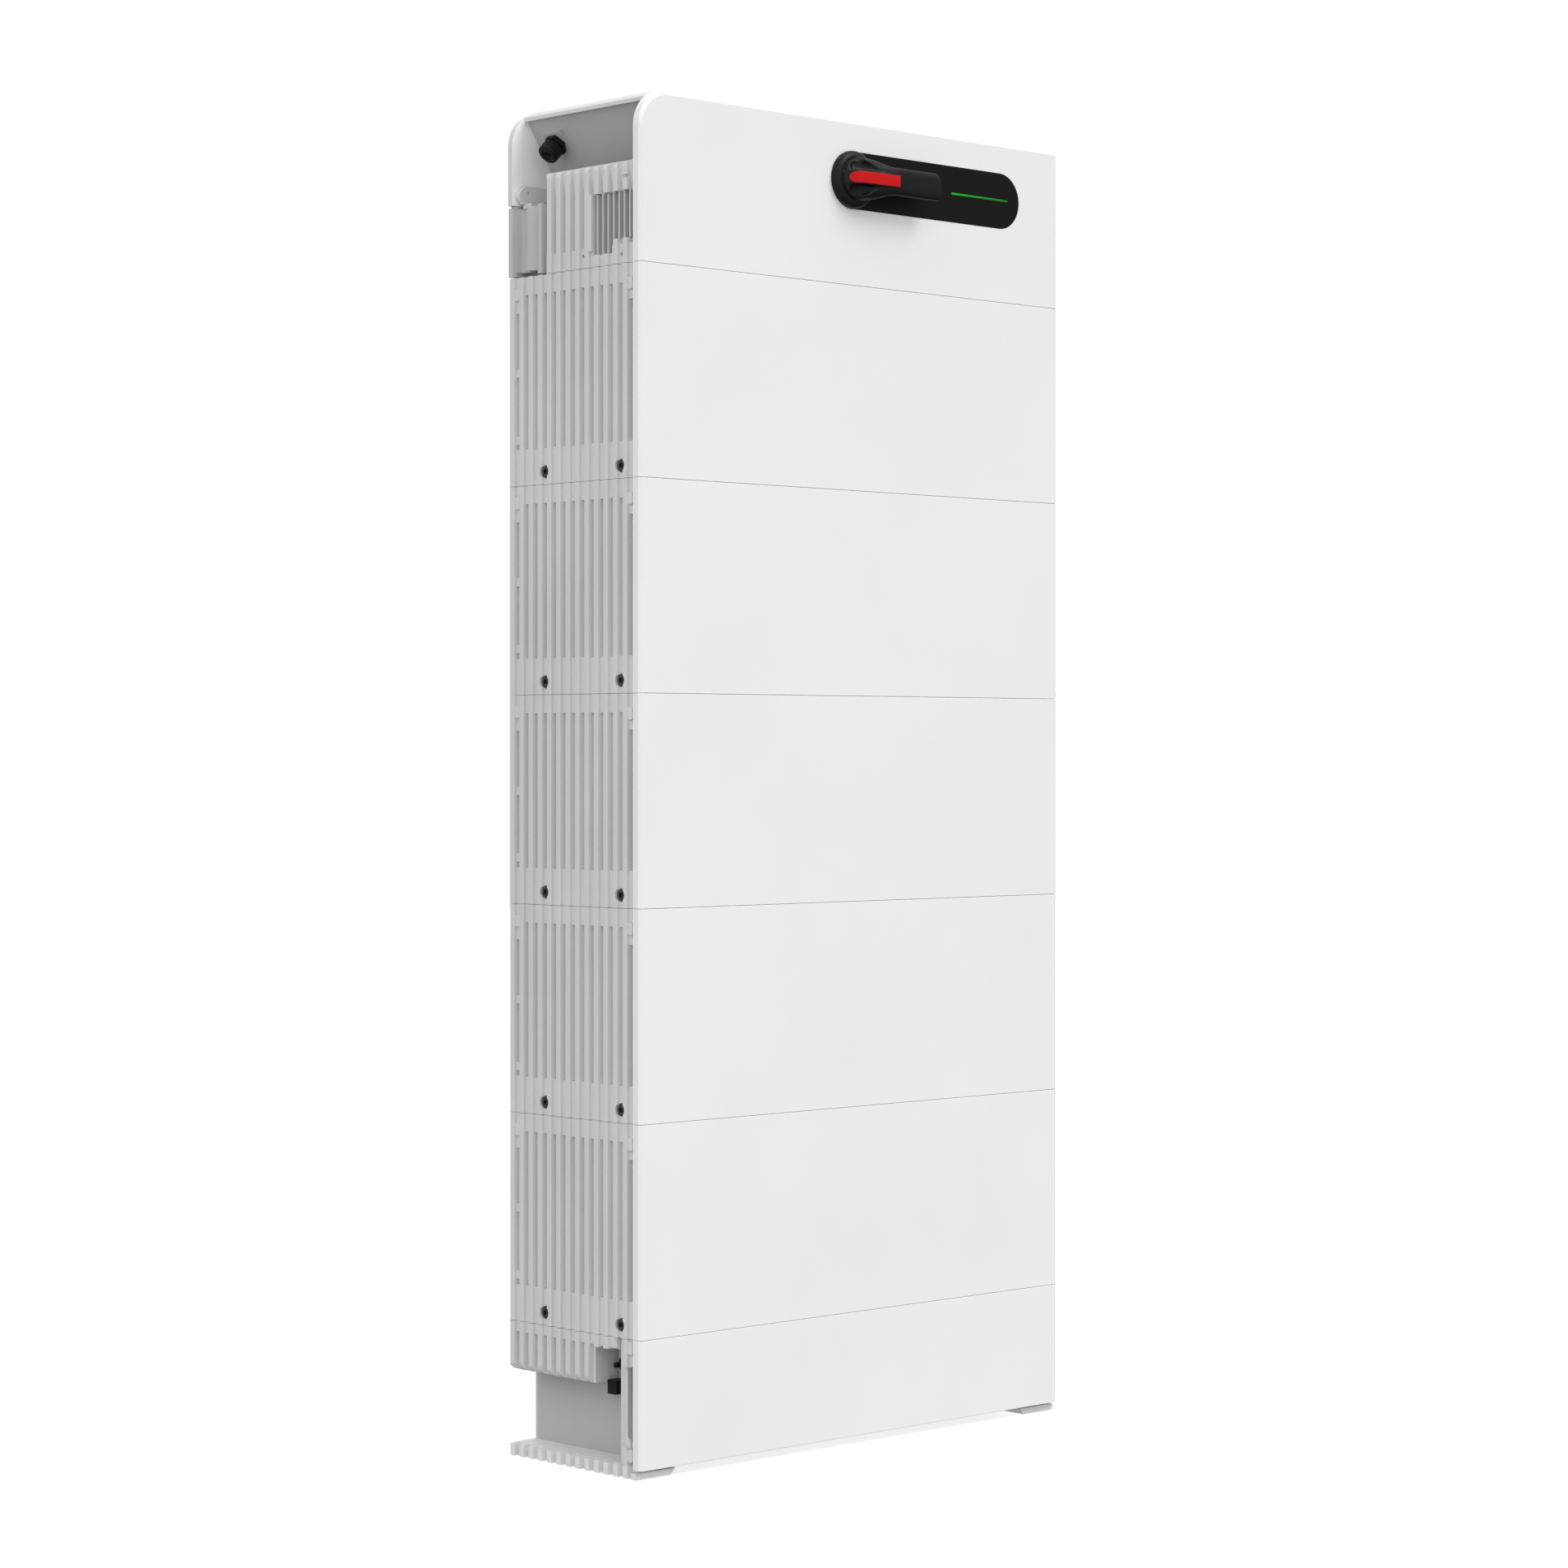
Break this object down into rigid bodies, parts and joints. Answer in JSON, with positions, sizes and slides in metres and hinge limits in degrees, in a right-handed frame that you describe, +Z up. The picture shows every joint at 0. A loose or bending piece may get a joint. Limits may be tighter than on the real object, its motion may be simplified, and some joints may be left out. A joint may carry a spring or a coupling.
{
  "type": "stacked home battery unit",
  "caption": "Floor-standing home battery stack: slim white modules on a base under an inverter header, with a turning isolator handle.",
  "frame": {"origin": "on the floor, in the middle of the width and of the envelope's depth from the handle's tip to the rear face", "axes": "+X to the right seen from the front, +Y towards the wall behind, +Z up"},
  "size_m": [0.767, 0.296, 1.746],
  "materials": {
    "cover_paint": "satin",
    "body_paint": "matte",
    "bare_aluminium": "satin",
    "lid_metal": "satin",
    "cell_film": "satin",
    "copper": "polished",
    "circuit_board": "matte",
    "black_plastic": "matte",
    "panel_gloss": "gloss",
    "handle_plastic": "satin",
    "marker_red": "satin",
    "light_green": "gloss",
    "steel": "brushed",
    "black_steel": "satin",
    "rubber": "matte"
  },
  "bodies": {
    "stack": {"base_block_ports": "black_plastic", "base_frame": "body_paint", "base_front_cover": "cover_paint", "base_plate": "body_paint", "base_round_ports": "black_plastic", "base_side_bars": "body_paint", "base_skirts": "body_paint", "battery_cells": "cell_film", "cell_busbars": "copper", "cell_end_plates": "bare_aluminium", "clip_screws": "steel", "control_panel": "panel_gloss", "fan_frames": "black_plastic", "gland_bodies": "black_plastic", "gland_nuts": "black_plastic", "gland_seals": "rubber", "header_chassis": "body_paint", "header_front_cover": "cover_paint", "header_lid": "lid_metal", "header_rear_posts": "body_paint", "header_shell": "body_paint", "header_side_ribs": "body_paint", "header_window_fins": "bare_aluminium", "isolator_housing": "black_plastic", "levelling_feet": "rubber", "lid_gaskets": "rubber", "light_board": "circuit_board", "link_capacitors": "bare_aluminium", "locating_dowels": "steel", "management_boards": "circuit_board", "module_1_case": "body_paint", "module_1_front_cover": "cover_paint", "module_1_side_covers": "body_paint", "module_2_case": "body_paint", "module_2_front_cover": "cover_paint", "module_2_side_covers": "body_paint", "module_3_case": "body_paint", "module_3_front_cover": "cover_paint", "module_3_side_covers": "body_paint", "module_4_case": "body_paint", "module_4_front_cover": "cover_paint", "module_4_side_covers": "body_paint", "module_5_case": "body_paint", "module_5_front_cover": "cover_paint", "module_5_side_covers": "body_paint", "module_lids": "lid_metal", "pack_converters": "bare_aluminium", "power_board": "circuit_board", "power_chokes": "black_plastic", "shell_clips": "body_paint", "side_screws": "black_steel", "stack_plugs": "black_plastic", "stack_sockets": "black_plastic", "status_light": "light_green"},
    "isolator_switch": {"isolator_handle": "handle_plastic", "handle_marker": "marker_red", "isolator_shaft": "steel", "isolator_rotor": "black_plastic"},
    "left_fan": {"fan_rotor_left": "black_plastic"},
    "right_fan": {"fan_rotor_right": "black_plastic"}
  },
  "joints": [
    {"name": "isolator_turn", "type": "hinge", "parent": "stack", "child": "isolator_switch", "pos_m": [-0.0145, 0, 1.664], "axis": [0, -1, 0], "range_deg": [0, 90]},
    {"name": "left_fan_spin", "type": "hinge", "parent": "stack", "child": "left_fan", "pos_m": [-0.19, 0, 1.6], "axis": [0, 1, 0], "continuous": true},
    {"name": "right_fan_spin", "type": "hinge", "parent": "stack", "child": "right_fan", "pos_m": [0.19, 0, 1.6], "axis": [0, 1, 0], "continuous": true}
  ]
}
